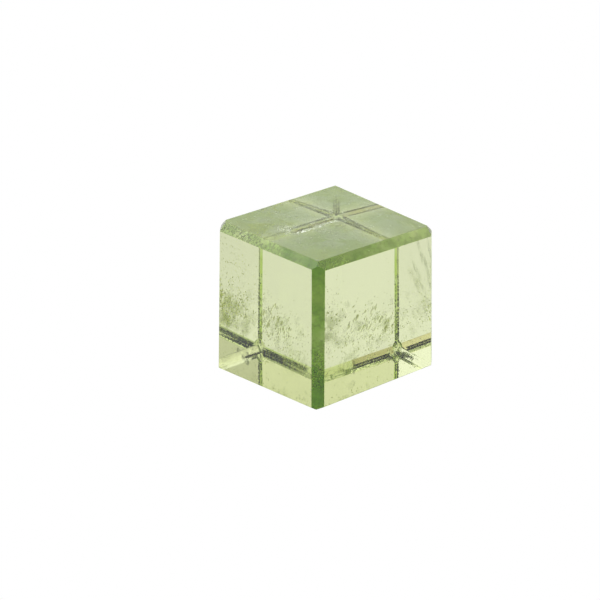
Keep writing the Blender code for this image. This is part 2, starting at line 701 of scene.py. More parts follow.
def sort_faces(shape: bmesh.types.BMesh) -> None:
    """Put the faces in order of place, as cutting and thickening leave them in any order.

    Args:
        shape: The shape to sort.
    """
    in_order = sorted(shape.faces, key=lambda face: face.calc_center_median()[:])
    for number, face in enumerate(in_order):
        face.index = number
    shape.faces.sort()


def axis_way(axis: int) -> Vector:
    """Return the unit vector along an axis."""
    return Vector(tuple(float(axis == index) for index in range(3)))


def upright_along(way: Vector) -> Matrix:
    """Return the turn that brings the upright axis to a direction."""
    return way.to_track_quat("Z", "Y").to_matrix().to_4x4()


@dataclass
class Stone:
    """The ground stone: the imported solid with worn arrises, chips and marked surfaces."""

    finish: PeridotFinish
    seed: int = 7
    merge_gap: float = 0.001 * MM
    flat_angle: float = math.radians(0.2)
    arris_width: float = 0.02 * MM
    arris_steps: int = 2
    bevel_steps: int = 12
    chip_roundness: int = 2
    chip_lumps: Lumps = Lumps(0.25, 1.3, 1.0)
    chip_length: tuple[float, float] = (1.0, 2.2)
    chip_depth: tuple[float, float] = (0.7, 1.0)
    chip_stray: tuple[float, float] = (0.1, 0.9)
    chip_rise: float = 0.9
    chip_bite: float = 0.45
    shell_roundness: int = 3
    shell_lumps: Lumps = Lumps(0.12, 2.0)
    gouge_depth: float = 0.7
    gouge_edge: float = 0.25 * MM
    least_slope: float = 0.01
    sharp: bmesh.types.BMesh | None = None
    flats: list[Flat] = field(default_factory=list)
    gouges: list[Gouge] = field(default_factory=list)

    def build(self, node: bpy.types.Object) -> bpy.types.Object:
        """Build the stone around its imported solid.

        Args:
            node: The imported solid.

        Returns:
            The stone's object.
        """
        shape = bmesh.new()
        shape.from_mesh(node.data)
        bmesh.ops.remove_doubles(shape, verts=shape.verts[:], dist=self.merge_gap)
        bmesh.ops.dissolve_limit(
            shape, angle_limit=self.flat_angle, use_dissolve_boundaries=False,
            verts=shape.verts[:], edges=shape.edges[:],
        )
        shape.normal_update()
        self.sharp = shape.copy()
        self.flats = [self.read_flat(face) for face in shape.faces]
        arrises = self.find_arrises(shape)
        self.wear_arrises(shape)
        self.divide_bevels(shape)
        shape.normal_update()
        flats = [self.read_flat(face) for face in shape.faces]
        cutter = self.chip_cutter(arrises)
        self.add_corner_bites(cutter, shape)
        self.add_gouges(cutter)
        stone = self.chip(shape, cutter)
        shape = bmesh.new()
        shape.from_mesh(stone.data)
        self.mark_surfaces(shape, flats)
        shape.to_mesh(stone.data)
        shape.free()
        stone.data.materials.append(self.finish.material())
        return stone

    def grinding_of(self, normal: Vector) -> Grinding | None:
        """Tell which bevel a direction belongs to.

        Args:
            normal: The way a face points.

        Returns:
            The bevel's grinding, or None for a polished face.
        """
        if max(normal.dot(Vector(side.value)) for side in Side) > POLISHED_MATCH:
            return None
        return max(GRINDINGS, key=lambda item: item.bevel.direction().dot(normal))

    def room(self, place: Vector, way: Vector | None = None) -> float:
        """Measure how far a place is from the skin of the stone, before it is chipped.

        Args:
            place: A place in the stone.
            way: The direction to measure in, or None for the shortest distance.

        Returns:
            The distance, below zero for a place outside the stone.
        """
        gaps = [flat.distance - flat.normal.dot(place) for flat in self.flats]
        if way is None:
            return min(gaps)
        slopes = [flat.normal.dot(way) for flat in self.flats]
        return min(gap / slope for gap, slope in zip(gaps, slopes) if slope > self.least_slope)

    def pull_inside(self, verts: list[bmesh.types.BMVert], gap: float) -> None:
        """Move the vertices of a small shape inwards, where it would stick out of the stone.

        Args:
            verts: The shape's vertices.
            gap: How far from the skin they have to stay.
        """
        for vert in verts:
            for flat in self.flats:
                excess = flat.normal.dot(vert.co) - flat.distance + gap
                if excess > 0.0:
                    vert.co -= flat.normal * excess

    def find_arrises(self, shape: bmesh.types.BMesh) -> dict[tuple[Bevel, Side], Arris]:
        """Find the sharp lines between each bevel and the polished faces beside it.

        Args:
            shape: The stone with sharp arrises.

        Returns:
            The arris of each bevel and side.
        """
        arrises = {}
        for edge in shape.edges:
            for face, other in (edge.link_faces, reversed(edge.link_faces)):
                grinding = self.grinding_of(face.normal)
                if grinding is None or self.grinding_of(other.normal) is not None:
                    continue
                if grinding.bevel.direction().dot(face.normal) < BEVEL_MATCH:
                    continue
                side = max(Side, key=lambda item: other.normal.dot(Vector(item.value)))
                ends = sorted((vert.co.copy() for vert in edge.verts), key=sum)
                outward = (face.normal + other.normal).normalized()
                arrises[grinding.bevel, side] = Arris(*ends, outward)
        return arrises

    def wear_arrises(self, shape: bmesh.types.BMesh) -> None:
        """Round the sharp lines between the flats a little.

        Args:
            shape: The stone with sharp arrises.
        """
        bmesh.ops.bevel(
            shape, geom=shape.edges[:], offset=self.arris_width, offset_type="OFFSET",
            affect="EDGES", segments=self.arris_steps, profile=0.5, material=-1, clamp_overlap=True,
        )

    def divide_bevels(self, shape: bmesh.types.BMesh) -> None:
        """Divide the bevels along their length, so that their wear can change along it.

        Args:
            shape: The stone with worn arrises.
        """
        for grinding in GRINDINGS:
            axis = grinding.bevel.axis()
            across = axis_way(axis)
            low, high = extent(shape.verts, axis)
            shares = [step / self.bevel_steps for step in range(1, self.bevel_steps)]
            shares += [grinding.change + side * grinding.change_width / 2.0 for side in (-1, 1)]
            for share in shares:
                faces = [face for face in shape.faces if self.grinding_of(face.normal) is grinding]
                edges = once_each(edge for face in faces for edge in face.edges)
                verts = once_each(vert for face in faces for vert in face.verts)
                place = across * (low + (high - low) * share)
                bmesh.ops.bisect_plane(
                    shape, geom=[*verts, *edges, *faces], dist=self.merge_gap,
                    plane_co=place, plane_no=across,
                )
                sort_faces(shape)

    def read_flat(self, face: bmesh.types.BMFace) -> Flat:
        """Record the plane and the grinding of one face."""
        normal = face.normal.copy()
        return Flat(normal, normal.dot(face.verts[0].co), self.grinding_of(normal))

    def chip_cutter(self, arrises: dict[tuple[Bevel, Side], Arris]) -> bmesh.types.BMesh:
        """Make the shapes that bite into the arrises.

        Args:
            arrises: The arrises, as find_arrises gives them.

        Returns:
            Small uneven pebbles, one at each chip.
        """
        draw = random.Random(self.seed)
        cutter = bmesh.new()
        for chipping in CHIPPINGS:
            arris = arrises[chipping.bevel, chipping.side]
            along = (arris.end - arris.start).normalized()
            turn = Matrix((along, along.cross(arris.outward), arris.outward)).transposed().to_4x4()
            for number in range(chipping.count):
                share = (number + draw.uniform(*self.chip_stray)) / chipping.count
                share = chipping.start + (chipping.end - chipping.start) * share
                place = arris.start.lerp(arris.end, share)
                size = draw.uniform(chipping.smallest, chipping.largest) * MM
                length, depth = draw.uniform(*self.chip_length), draw.uniform(*self.chip_depth)
                pebble = bmesh.ops.create_icosphere(
                    cutter, subdivisions=self.chip_roundness, radius=size
                )["verts"]
                self.chip_lumps.shape(pebble, size, place)
                middle = place + arris.outward * size * (1.0 - self.chip_bite) * self.chip_rise
                matrix = Matrix.Translation(middle) @ turn @ Matrix.Diagonal((length, 1.0, depth, 1.0))
                bmesh.ops.transform(cutter, matrix=matrix, verts=pebble)
        return cutter

    def add_corner_bites(self, cutter: bmesh.types.BMesh, shape: bmesh.types.BMesh) -> None:
        """Add the larger shells that are missing from corners.

        Args:
            cutter: The shapes that bite into the stone.
            shape: The stone, for the place of its corners.
        """
        for bite in CORNER_BITES:
            outward = Vector(bite.way).normalized()
            tip = max((vert.co for vert in shape.verts), key=outward.dot)
            radius, depth = bite.radius * MM, bite.depth * MM
            shell = bmesh.ops.create_icosphere(
                cutter, subdivisions=self.shell_roundness, radius=radius
            )["verts"]
            self.shell_lumps.shape(shell, radius, tip)
            squash = Matrix.Diagonal((1.0, 1.0, bite.squash, 1.0))
            middle = tip + outward * (radius * bite.squash - depth)
            matrix = Matrix.Translation(middle) @ upright_along(outward) @ squash
            bmesh.ops.transform(cutter, matrix=matrix, verts=shell)

    def add_gouges(self, cutter: bmesh.types.BMesh) -> None:
        """Add the pits and scratches of the top face, and remember where they are.

        Args:
            cutter: The shapes that bite into the stone.
        """
        draw = random.Random(self.seed)
        top = max(flat.distance for flat in self.flats if flat.normal.z > POLISHED_MATCH)
        for row in GOUGE_ROWS:
            start, end = (Vector((*point, 0.0)) * MM for point in (row.start, row.end))
            heading = math.atan2(end.y - start.y, end.x - start.x)
            for _ in range(row.count):
                stray = Vector((draw.uniform(-1.0, 1.0), draw.uniform(-1.0, 1.0), 0.0))
                middle = start.lerp(end, draw.random()) + stray * row.wander * MM
                middle.z = top
                turn = heading + draw.uniform(-1.0, 1.0) * row.turn_spread
                length, width = draw.uniform(*row.length) * MM, draw.uniform(*row.width) * MM
                if self.room(middle - UP * self.gouge_edge) < self.gouge_edge * NEARLY:
                    continue
                self.gouges.append(Gouge(middle, turn, length, width, row.crumbs))
        for gouge in self.gouges:
            pit = bmesh.ops.create_icosphere(cutter, subdivisions=1, radius=1.0)["verts"]
            shape = Matrix.Diagonal((gouge.length, gouge.width, gouge.width * self.gouge_depth, 1.0))
            matrix = Matrix.Translation(gouge.middle) @ Matrix.Rotation(gouge.turn, 4, "Z") @ shape
            bmesh.ops.transform(cutter, matrix=matrix, verts=pit)

    def chip(self, shape: bmesh.types.BMesh, cutter: bmesh.types.BMesh) -> bpy.types.Object:
        """Bite the cutter out of the stone.

        Args:
            shape: The stone, which is used up.
            cutter: The chips, which are used up.

        Returns:
            The chipped stone's object.
        """
        made = []
        for name, part in (("peridot_stone", shape), ("chip_cutter", cutter)):
            mesh = bpy.data.meshes.new(name)
            part.to_mesh(mesh)
            part.free()
            made.append(bpy.data.objects.new(name, mesh))
            bpy.context.scene.collection.objects.link(made[-1])
        stone, tool = made
        bite = stone.modifiers.new("chips", "BOOLEAN")
        bite.operation = "DIFFERENCE"
        bite.solver = "EXACT"
        bite.use_self = True
        bite.object = tool
        finished = stone.evaluated_get(bpy.context.evaluated_depsgraph_get())
        chipped = bpy.data.meshes.new_from_object(finished)
        sharp = stone.data
        stone.modifiers.clear()
        stone.data = chipped
        bpy.data.meshes.remove(sharp)
        bpy.data.objects.remove(tool)
        chipped.name = "peridot_stone"
        return stone

    def mark_surfaces(self, shape: bmesh.types.BMesh, flats: list[Flat]) -> None:
        """Mark what is ground and how it was left.

        Args:
            shape: The chipped stone.
            flats: The flats as they were before the chips.
        """
        ground = shape.loops.layers.float.new("ground")
        layers = [shape.loops.layers.float.new(item.name) for item in fields(Wear)]
        extents = [extent(shape.verts, axis) for axis in range(3)]
        for face in shape.faces:
            flat = next((item for item in flats if item.holds(face)), None)
            if flat and flat.grinding is None:
                continue
            for loop in face.loops:
                wear = FRESH_CHIP
                if flat:
                    axis = flat.grinding.bevel.axis()
                    low, high = extents[axis]
                    wear = flat.grinding.wear_at((loop.vert.co[axis] - low) / (high - low))
                loop[ground] = 1.0
                for layer, value in zip(layers, astuple(wear)):
                    loop[layer] = value


@dataclass(frozen=True)
class SealedFinish:
    """Something that is sealed in the stone: matt, and see-through where it is thin.

    The cover is the opacity where it is thickest, and thinnest the share that is left elsewhere.
    """

    name: str
    colour: Colour
    second_colour: Colour
    cover: float
    roughness: float = 0.6
    patch_per_metre: float = 3000.0
    patch_range: tuple[float, float] = (0.35, 0.65)
    thinnest: float = 0.5
    holes: float = 0.0
    holes_per_metre: float = 6000.0
    hole_range: tuple[float, float] = (0.15, 0.35)

    def material(self) -> bpy.types.Material:
        """Return the piece's material.

        Returns:
            A matt material that varies from grain to grain and along a film.
        """
        material, bench, shader = start_material(self.name)
        shader.inputs["Roughness"].default_value = self.roughness
        patches = Mottle.mask(bench, bench.place(), self.patch_per_metre, *self.patch_range)
        bench.feed(shader.inputs["Base Color"], bench.blend(patches, self.colour, self.second_colour))
        thick = bench.span(patches, 0.0, 1.0, self.cover * self.thinnest, self.cover)
        cover = bench.math("MULTIPLY", bench.mark("cover"), thick)
        if self.holes:
            pits = Grit.mask(bench, bench.place(), self.holes_per_metre, *self.hole_range)
            cover = bench.math("MULTIPLY", cover, bench.span(pits, 0.0, 1.0, 1.0 - self.holes))
        bench.feed(shader.inputs["Alpha"], cover)
        return material


def piece_from(
    shape: bmesh.types.BMesh, name: str, material: bpy.types.Material
) -> bpy.types.Object:
    """Make an object of a finished shape.

    Args:
        shape: The shape, which is used up.
        name: The name of the piece.
        material: What it is made of.

    Returns:
        The piece, linked to the scene.
    """
    sort_faces(shape)
    mesh = bpy.data.meshes.new(name)
    shape.to_mesh(mesh)
    shape.free()
    mesh.materials.append(material)
    piece = bpy.data.objects.new(name, mesh)
    bpy.context.scene.collection.objects.link(piece)
    return piece


def cover_fully(shape: bmesh.types.BMesh) -> None:
    """Mark a whole shape as fully covered.

    Args:
        shape: The shape.
    """
    cover = shape.loops.layers.float.new("cover")
    for loop in (loop for face in shape.faces for loop in face.loops):
        loop[cover] = 1.0


@dataclass(frozen=True)
class Swarm:
    """Grains round one place. Places and sizes are in millimetres.

    A grain with a way is moved along it until it lies just under the stone's skin.
    """

    middle: Triple
    spread: Triple
    count: int
    smallest: float
    largest: float
    stretch: float = 1.3
    lean: Triple = (0.0, 0.0, 1.0)
    lean_spread: float = 1.0
    way: Triple | None = None


@dataclass
class Grains:
    """Many small grains sealed in the stone, joined in one piece."""

    name: str
    finish: SealedFinish
    swarms: tuple[Swarm, ...]
    seed: int
    roundness: int = 1
    unevenness: float = 0.3
    shells: int = 1
    shell_growth: float = 0.45
    flatness: float = 0.8
    margin: float = 0.03 * MM
    skin_flatness: float = 0.5
    skin_gap: float = 0.006 * MM

    def build(self, stone: Stone) -> bpy.types.Object:
        """Build the grains.

        Args:
            stone: The stone that holds them.

        Returns:
            The grains' object.
        """
        draw = random.Random(self.seed)
        shape = bmesh.new()
        for swarm in self.swarms:
            for _ in range(swarm.count):
                self.add_grain(shape, swarm, stone, draw)
        cover_fully(shape)
        return piece_from(shape, self.name, self.finish.material())

    def add_grain(
        self, shape: bmesh.types.BMesh, swarm: Swarm, stone: Stone, draw: random.Random
    ) -> None:
        """Add one grain, if it falls inside the stone.

        Args:
            shape: The grains so far.
            swarm: Where the grain lies and how large it is.
            stone: The stone that holds it.
            draw: The source of chance.
        """
        spreads = zip(swarm.middle, swarm.spread)
        place = Vector([draw.gauss(middle, spread / 2) for middle, spread in spreads]) * MM
        size = draw.uniform(swarm.smallest, swarm.largest) * MM
        wander = Vector([draw.uniform(-1.0, 1.0) for _ in range(3)]) * swarm.lean_spread
        long_way = (Vector(swarm.lean) + wander).normalized()
        twist = draw.uniform(0.0, math.tau)
        if swarm.way:
            way = Vector(swarm.way).normalized()
            long_way = (long_way - way * long_way.dot(way)).normalized()
            place += way * (stone.room(place, way) - size * self.skin_flatness - self.skin_gap)
            turn = Matrix((way, way.cross(long_way), long_way)).transposed().to_4x4()
            flatness, gap = self.skin_flatness, self.skin_gap
        else:
            turn = upright_along(long_way) @ Matrix.Rotation(twist, 4, "Z")
            flatness, gap = self.flatness, self.margin
        if stone.room(place) < gap:
            return
        lumps = Lumps(self.unevenness, GRAIN_FINENESS, GRAIN_DRIFT)
        stretch = Matrix.Diagonal((flatness, 1.0, swarm.stretch, 1.0))
        matrix = Matrix.Translation(place) @ turn @ stretch
        for shell in range(self.shells):
            width = size * (1.0 + self.shell_growth * shell)
            grain = bmesh.ops.create_icosphere(
                shape, subdivisions=self.roundness, radius=width
            )["verts"]
            lumps.shape(grain, size, place)
            bmesh.ops.transform(shape, matrix=matrix, verts=grain)
            if swarm.way:
                stone.pull_inside(grain, self.skin_gap)


@dataclass
class Crumbs:
    """Crushed stone left in the pits and scratches of the top face, joined in one piece."""

    finish: SealedFinish
    seed: int = 21
    lumps: Lumps = Lumps(0.4, GRAIN_FINENESS, GRAIN_DRIFT)
    reach: float = 1.3
    share_of_width: float = 0.60
    size_range: tuple[float, float] = (0.7, 1.2)
    stretch_range: tuple[float, float] = (1.0, 4.0)
    share_of_length: float = 0.5
    flatness: float = 0.4
    drop: float = 0.5
    sunk: float = 0.004 * MM

    def build(self, stone: Stone) -> bpy.types.Object:
        """Build the crumbs.

        Args:
            stone: The stone, whose pits they lie in.

        Returns:
            The crumbs' object.
        """
        draw = random.Random(self.seed)
        shape = bmesh.new()
        for gouge in stone.gouges:
            along = Vector((math.cos(gouge.turn), math.sin(gouge.turn), 0.0))
            for number in range(gouge.crumbs):
                share = ((number + 0.5) / gouge.crumbs - 0.5) * self.reach
                place = gouge.middle + along * gouge.length * share
                size = gouge.width * self.share_of_width * draw.uniform(*self.size_range)
                shortest, longest = self.stretch_range
                length = max(shortest, min(longest, self.share_of_length * gouge.length / gouge.width))
                crumb = bmesh.ops.create_icosphere(shape, subdivisions=1, radius=size)["verts"]
                self.lumps.shape(crumb, size, place)
                place.z -= size * self.drop + self.sunk
                matrix = Matrix.Translation(place) @ Matrix.Rotation(gouge.turn, 4, "Z")
                matrix = matrix @ Matrix.Diagonal((length, 1.0, self.flatness, 1.0))
                bmesh.ops.transform(shape, matrix=matrix, verts=crumb)
                stone.pull_inside(crumb, self.sunk)
        cover_fully(shape)
        return piece_from(shape, "top_crumbs", self.finish.material())


@dataclass(frozen=True)
class Sheet:
    """One thin film: its middle, its two half-widths and how it bulges, in millimetres.

    The cover fades out over the rim, a share of the half-width. A strip fades towards its four
    sides, and any other film towards an ellipse.
    """

    middle: Triple
    across: Triple
    along: Triple
    bulge: float = 0.15
    ripple: float = 0.10
    cover: float = 1.0
    rim: float = 0.5
    strip: bool = False


@dataclass(frozen=True)
class Grooves:
    """A row of short upright grooves filled with a dark film, all turned the same way, in millimetres.
    """

    start: Triple
    end: Triple
    way: Triple
    reach: float
    rise: float
    count: int
    last_cover: float
    seed: int
    stray: tuple[float, float] = (0.3, 0.7)
    reach_range: tuple[float, float] = (0.7, 1.3)
    rise_range: tuple[float, float] = (0.8, 1.05)
    cover_range: tuple[float, float] = (0.7, 1.0)
    rim: float = 0.15

    def sheets(self) -> tuple[Sheet, ...]:
        """Lay out the grooves.

        Returns:
            One upright film for each groove, uneven in size.
        """
        draw = random.Random(self.seed)
        made = []
        for number in range(self.count):
            share = (number + draw.uniform(*self.stray)) / self.count
            middle = Vector(self.start).lerp(Vector(self.end), share)
            across = Vector(self.way) * self.reach * draw.uniform(*self.reach_range)
            along = Vector((0.0, 0.0, self.rise * draw.uniform(*self.rise_range)))
            cover = (1.0 + (self.last_cover - 1.0) * share) * draw.uniform(*self.cover_range)
            places = (tuple(item) for item in (middle, across, along))
            made.append(Sheet(*places, 0.0, 0.0, cover, self.rim, True))
        return tuple(made)


@dataclass
class Films:
    """Thin films sealed in the stone, such as veils and cracks, joined in one piece."""

    name: str
    finish: SealedFinish
    sheets: tuple[Sheet, ...]
    steps: int = 16
    thickness: float = 0.003 * MM
    margin: float = 0.02 * MM
    wave_fineness: float = 1.7

    def build(self, stone: Stone) -> bpy.types.Object:
        """Build the films.

        Args:
            stone: The stone that holds them.

        Returns:
            The films' object.
        """
        shape = bmesh.new()
        cover = shape.loops.layers.float.new("cover")
        for sheet in self.sheets:
            grid = bmesh.ops.create_grid(
                shape, x_segments=self.steps, y_segments=self.steps, size=1.0
            )["verts"]
            faces = once_each(face for vert in grid for face in vert.link_faces)
            for loop in (loop for face in faces for loop in face.loops):
                u, v = loop.vert.co.xy
                reach = max(abs(u), abs(v)) if sheet.strip else math.hypot(u, v)
                fade = min(1.0, max(0.0, (1.0 - reach) / sheet.rim))
                loop[cover] = sheet.cover * fade * fade * (3.0 - 2.0 * fade)
            self.lay(sheet, grid)
        outside = [vert for vert in shape.verts if stone.room(vert.co) < self.margin]
        bmesh.ops.delete(shape, geom=outside, context="VERTS")
        bmesh.ops.solidify(shape, geom=shape.faces[:], thickness=self.thickness)
        return piece_from(shape, self.name, self.finish.material())

    def lay(self, sheet: Sheet, verts: list[bmesh.types.BMVert]) -> None:
        """Bend one flat grid, two units wide, into its place.

        Args:
            sheet: Where the film lies.
            verts: The grid's vertices.
        """
        across, along = Vector(sheet.across) * MM, Vector(sheet.along) * MM
        out = across.cross(along).normalized() * MM
        for vert in verts:
            u, v = vert.co.x, vert.co.y
            wave = noise.noise(
                Vector((u * self.wave_fineness, v * self.wave_fineness, sum(sheet.middle)))
            )
            lift = sheet.bulge * (1.0 - u * u) * (1.0 - v * v) + sheet.ripple * wave
            vert.co = Vector(sheet.middle) * MM + across * u + along * v + out * lift


OLIVE_GRAIN = SealedFinish("olive_grain", (0.56, 0.64, 0.01), (0.70, 0.76, 0.04), 0.60, thinnest=0.5)
OLIVE_NEEDLE = SealedFinish("olive_needle", (0.76, 0.82, 0.0), (0.84, 0.90, 0.02), 0.17, thinnest=0.6)
OLIVE_CLOUD = SealedFinish("olive_cloud", (0.56, 0.66, 0.06), (0.66, 0.76, 0.12), 0.050, thinnest=0.4)
PALE_FLECK = SealedFinish("pale_fleck", (0.86, 0.95, 0.74), (0.95, 1.0, 0.86), 0.95, thinnest=0.7)
CRUSHED_STONE = SealedFinish("crushed_stone", (0.88, 0.94, 0.84), (0.95, 0.98, 0.92), 1.0, thinnest=0.9)
DARK_GRAIN = SealedFinish("dark_grain", (0.015, 0.03, 0.02), (0.05, 0.07, 0.04), 0.95, thinnest=0.8)
GREEN_VEIL = SealedFinish(
    "green_veil", (0.66, 0.78, 0.06), (0.76, 0.86, 0.14), 0.40, patch_per_metre=1400.0, thinnest=0.1
)
PALE_VEIL = SealedFinish(
    "pale_veil", (0.85, 0.93, 0.70), (0.92, 0.96, 0.80), 0.30, patch_per_metre=1100.0, thinnest=0.1
)
POLISH_HAZE = SealedFinish(
    "polish_haze", (0.62, 0.78, 0.62), (0.74, 0.84, 0.74), 0.22, patch_per_metre=600.0, thinnest=0.1
)
# Used for the dark grooves, and for the painted shadow film outside the rear base bevel.
DARK_FILM = SealedFinish(
    "dark_film", (0.02, 0.05, 0.04), (0.10, 0.17, 0.13), 1.0,
    patch_per_metre=5000.0, thinnest=1.0, holes=0.9,
)
BROWN_FILM = SealedFinish(
    "brown_film", (0.05, 0.06, 0.01), (0.16, 0.18, 0.04), 1.0,
    patch_per_metre=5000.0, thinnest=1.0, holes=0.5,
)
CRACK_FILM = SealedFinish("crack_film", (0.08, 0.11, 0.02), (0.20, 0.26, 0.06), 0.55, thinnest=0.3)

# What lies in the stone. X runs along the front left side and Y along the front right one.
# Short olive needles, in a band across the lower middle.
NEEDLE_LEAN = (0.25, 0.35, 0.9)
NEEDLES = (
    Swarm((-4.5, 1.0, 3.0), (0.4, 0.4, 0.3), 5, 0.024, 0.042, 2.6, NEEDLE_LEAN, 0.25),
    Swarm((-3.0, 1.0, 3.8), (0.4, 0.4, 0.3), 5, 0.024, 0.042, 2.6, NEEDLE_LEAN, 0.25),
    Swarm((-3.0, 1.5, 4.1), (0.4, 0.5, 0.3), 5, 0.020, 0.034, 2.5, NEEDLE_LEAN, 0.25),
    Swarm((-2.6, 2.2, 4.2), (0.3, 0.4, 0.3), 5, 0.020, 0.038, 2.6, NEEDLE_LEAN, 0.20),
    Swarm((-2.6, 2.0, 3.5), (0.3, 0.5, 0.4), 6, 0.024, 0.042, 2.6, NEEDLE_LEAN, 0.20),
    Swarm((-2.5, 2.8, 3.2), (0.3, 0.4, 0.3), 6, 0.024, 0.045, 2.6, NEEDLE_LEAN, 0.25),
    Swarm((-2.1, 3.1, 2.8), (0.4, 0.4, 0.3), 6, 0.024, 0.045, 2.6, NEEDLE_LEAN, 0.25),
    Swarm((-1.4, 3.2, 2.7), (0.6, 0.5, 0.4), 8, 0.024, 0.042, 2.5, NEEDLE_LEAN, 0.25),
    Swarm((-3.0, 1.6, 2.8), (0.6, 0.6, 0.3), 8, 0.024, 0.042, 2.6, NEEDLE_LEAN, 0.30),
    Swarm((-2.5, 2.4, 2.3), (0.7, 0.7, 0.4), 8, 0.020, 0.038, 2.5, NEEDLE_LEAN, 0.30),
    Swarm((-0.4, -2.0, 3.9), (1.2, 0.8, 0.5), 5, 0.018, 0.030, 2.0, NEEDLE_LEAN, 0.40),
    Swarm((-2.5, 0.2, 2.4), (0.8, 0.8, 0.5), 8, 0.020, 0.034, 2.5, NEEDLE_LEAN, 0.30),
)
# Faint olive clouds among the needles and by the left corner.
CLOUDS = (
    Swarm((-4.3, -0.2, 2.7), (0.8, 3.4, 1.5), 50, 0.10, 0.28, 1.2),
    Swarm((-2.7, 2.8, 2.8), (1.8, 1.6, 0.7), 24, 0.08, 0.20, 1.8, NEEDLE_LEAN, 0.3),
    Swarm((-0.5, 2.5, 1.6), (4.5, 2.5, 1.0), 20, 0.07, 0.16, 1.8, NEEDLE_LEAN, 0.4),
    Swarm((2.2, 4.2, 5.2), (1.8, 0.6, 1.8), 8, 0.10, 0.22, 2.4, (0.8, 0.0, -0.6), 0.2),
)
# Fine olive dust, thickest low down and by the left corner.
DUST = (
    Swarm((-3.8, -3.0, 6.6), (1.6, 2.8, 3.2), 260, 0.020, 0.040),
    Swarm((-4.2, -1.0, 3.9), (0.8, 4.6, 1.0), 100, 0.025, 0.055, 1.8, NEEDLE_LEAN, 0.5),
    Swarm((-1.6, -2.0, 5.6), (1.6, 1.6, 1.2), 60, 0.015, 0.035),
    Swarm((-1.0, 1.0, 2.0), (6.0, 6.0, 1.6), 420, 0.018, 0.038, 1.6, NEEDLE_LEAN, 0.4),
    Swarm((-3.0, 3.0, 3.0), (3.0, 3.0, 1.4), 220, 0.018, 0.038, 1.6, NEEDLE_LEAN, 0.4),
    Swarm((1.5, 3.5, 5.0), (3.0, 2.0, 3.0), 60, 0.012, 0.026),
    Swarm((0.0, 0.0, 5.0), (6.0, 6.0, 5.0), 120, 0.010, 0.022),
    Swarm((1.0, 4.0, 6.6), (0.1, 0.1, 0.1), 1, 0.045, 0.050),
)
# The ways out of the stone, through the top face or a bevel, for grains that lie in its skin.
SKYWARD = (0.0, 0.0, 1.0)
FORWARD_UP = (0.0, -0.707, 0.707)
REARWARD = (-0.707, 0.707, 0.0)
NEARWARD = (0.707, -0.707, 0.0)
BASE_LEFTWARD = (-0.78, 0.0, -0.62)
BASE_RIGHTWARD = (0.0, 0.85, -0.53)
# Whitish flecks along the bevels and under the top face.
FLECKS = (
    Swarm((-2.8, 5.1, 0.2), (2.4, 0.0, 0.24), 110, 0.025, 0.055, 1.3, way=BASE_RIGHTWARD),
    Swarm((-5.0, 3.2, 0.1), (0.0, 1.6, 0.10), 24, 0.015, 0.035, 1.3, way=BASE_LEFTWARD),
    Swarm((-5.1, 5.1, 3.0), (0.1, 0.1, 4.0), 40, 0.012, 0.030, 1.5, way=REARWARD),
    Swarm((5.0, -5.0, 2.9), (0.2, 0.2, 0.9), 26, 0.025, 0.045, 1.2, way=NEARWARD),
    Swarm((0.0, 0.0, 9.9), (6.0, 6.0, 0.0), 200, 0.025, 0.050, 1.3, way=SKYWARD),
    Swarm((0.5, -0.5, 9.9), (6.0, 6.0, 0.0), 40, 0.012, 0.020, 12.0, (0.6, 0.4, 0.0), 0.8, SKYWARD),
    Swarm((-1.3, 1.2, 9.9), (0.5, 0.4, 0.0), 14, 0.020, 0.045, 2.0, (0.6, 0.4, 0.0), 0.8, SKYWARD),
    Swarm((-3.2, -5.0, 9.8), (2.8, 0.25, 0.25), 260, 0.018, 0.040, 1.2, way=FORWARD_UP),
)
# The whitish scar across the top face.
SCAR_LEAN = (0.2, 1.0, 0.0)
SCAR = (
    Swarm((-0.6, -2.8, 9.9), (0.7, 0.5, 0.0), 60, 0.020, 0.055, 1.8, SCAR_LEAN, 0.5, SKYWARD),
    Swarm((0.20, -1.9, 9.9), (0.14, 1.0, 0.0), 55, 0.020, 0.050, 2.2, SCAR_LEAN, 0.3, SKYWARD),
    Swarm((0.12, -0.2, 9.9), (0.12, 1.0, 0.0), 55, 0.020, 0.050, 2.2, SCAR_LEAN, 0.3, SKYWARD),
    Swarm((0.74, -1.3, 9.9), (0.3, 0.4, 0.0), 12, 0.020, 0.045, 1.6, SCAR_LEAN, 0.5, SKYWARD),
    Swarm((0.8, -2.4, 9.9), (0.1, 0.1, 0.0), 3, 0.030, 0.045, 1.0, SCAR_LEAN, 0.5, SKYWARD),
    Swarm((-0.45, -0.9, 9.9), (0.1, 0.3, 0.0), 8, 0.020, 0.035, 3.0, SCAR_LEAN, 0.2, SKYWARD),
    Swarm((-0.35, 0.25, 9.9), (0.1, 0.3, 0.0), 8, 0.020, 0.035, 3.0, SCAR_LEAN, 0.2, SKYWARD),
)
